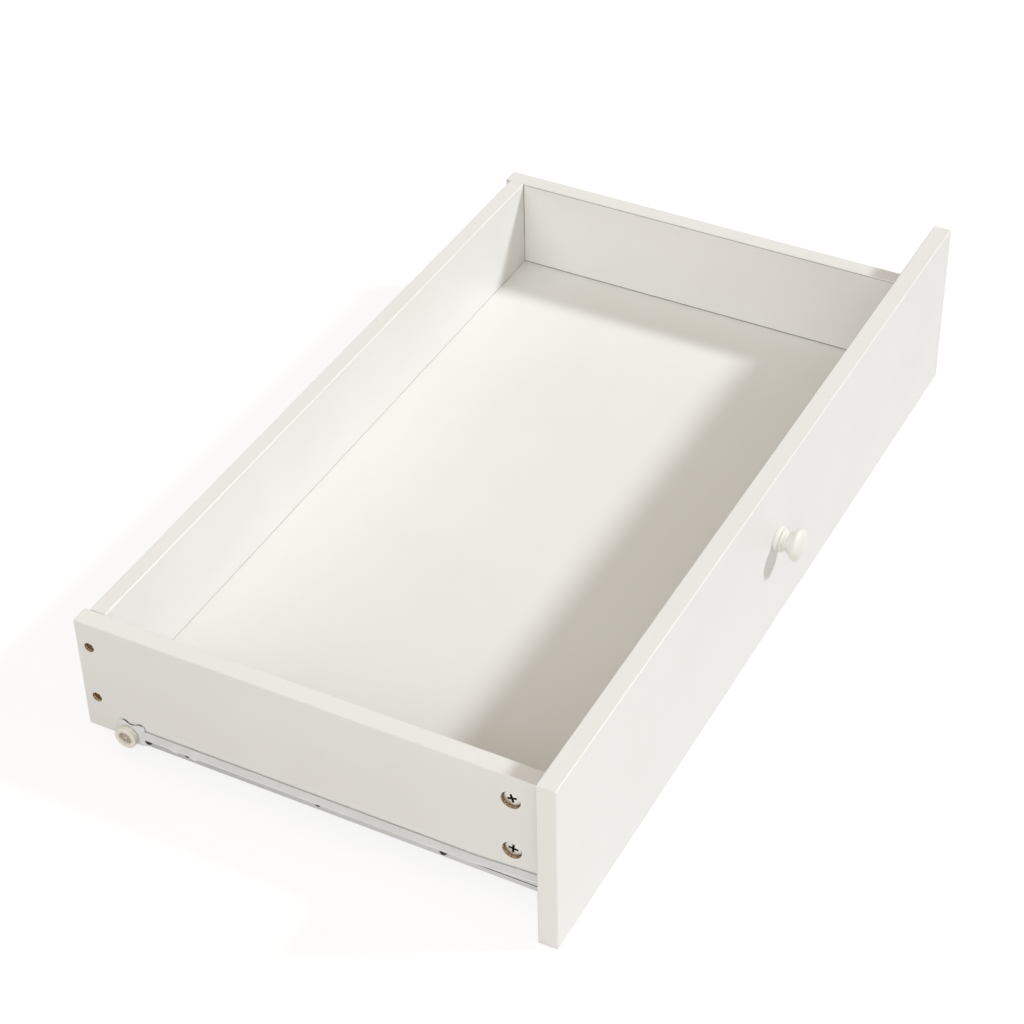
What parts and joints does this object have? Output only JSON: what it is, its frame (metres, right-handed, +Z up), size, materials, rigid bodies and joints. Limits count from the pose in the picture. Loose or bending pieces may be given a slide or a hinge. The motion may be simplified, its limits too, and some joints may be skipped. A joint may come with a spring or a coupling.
{
  "type": "under-bed drawer",
  "caption": "Shallow white board drawer with a turned round knob, an overlapping front, cam-locked corners and bottom-mounted roller runners.",
  "frame": {"origin": "middle of the front's bottom edge, halfway through the front's thickness", "axes": "+X across the drawer, to the right seen from in front of it; +Y from the front to the back; +Z up"},
  "size_m": [0.73, 0.4198, 0.15],
  "materials": {
    "white_board": "satin white coating on board",
    "white_sheet": "smooth white coating on thin board",
    "painted_wood": "satin white paint",
    "coated_steel": "light grey satin coating",
    "ivory_nylon": "moulded, matte",
    "rivet_steel": "dull, darkened by grease",
    "zinc_steel": "zinc plated",
    "zinc_casting": "die cast zinc, dull",
    "yellow_steel": "yellow plated"
  },
  "bodies": {
    "box": {"drawer_front": "white_board", "side_left": "white_board", "side_right": "white_board", "back_panel": "white_board", "bottom_panel": "white_sheet", "knob": "painted_wood", "knob_screw": "zinc_steel", "runner_left": "coated_steel", "roller_rivet_left": "rivet_steel", "runner_screw_left_front": "zinc_steel", "runner_screw_left_rear": "zinc_steel", "cam_bolt_left_lower": "zinc_steel", "back_screw_left_lower": "yellow_steel", "cam_bolt_left_upper": "zinc_steel", "back_screw_left_upper": "yellow_steel", "runner_right": "coated_steel", "roller_rivet_right": "rivet_steel", "runner_screw_right_front": "zinc_steel", "runner_screw_right_rear": "zinc_steel", "cam_bolt_right_lower": "zinc_steel", "back_screw_right_lower": "yellow_steel", "cam_bolt_right_upper": "zinc_steel", "back_screw_right_upper": "yellow_steel"},
    "roller_left": {"roller_left": "ivory_nylon"},
    "roller_right": {"roller_right": "ivory_nylon"},
    "cam_lock_left_lower": {"cam_lock_left_lower": "zinc_casting"},
    "cam_lock_left_upper": {"cam_lock_left_upper": "zinc_casting"},
    "cam_lock_right_lower": {"cam_lock_right_lower": "zinc_casting"},
    "cam_lock_right_upper": {"cam_lock_right_upper": "zinc_casting"}
  },
  "joints": [
    {"name": "roller_left_spin", "type": "hinge", "parent": "box", "child": "roller_left", "pos_m": [-0.34, 0.3541, 0.0206], "axis": [1, 0, 0], "continuous": true},
    {"name": "roller_right_spin", "type": "hinge", "parent": "box", "child": "roller_right", "pos_m": [0.34, 0.3541, 0.0206], "axis": [1, 0, 0], "continuous": true},
    {"name": "cam_lock_left_lower_turn", "type": "hinge", "parent": "box", "child": "cam_lock_left_lower", "pos_m": [-0.3275, 0.042, 0.045], "axis": [-1, 0, 0], "range_deg": [0, 185]},
    {"name": "cam_lock_left_upper_turn", "type": "hinge", "parent": "box", "child": "cam_lock_left_upper", "pos_m": [-0.3275, 0.042, 0.093], "axis": [-1, 0, 0], "range_deg": [0, 164]},
    {"name": "cam_lock_right_lower_turn", "type": "hinge", "parent": "box", "child": "cam_lock_right_lower", "pos_m": [0.3275, 0.042, 0.045], "axis": [1, 0, 0], "range_deg": [0, 172]},
    {"name": "cam_lock_right_upper_turn", "type": "hinge", "parent": "box", "child": "cam_lock_right_upper", "pos_m": [0.3275, 0.042, 0.093], "axis": [1, 0, 0], "range_deg": [0, 189]}
  ]
}
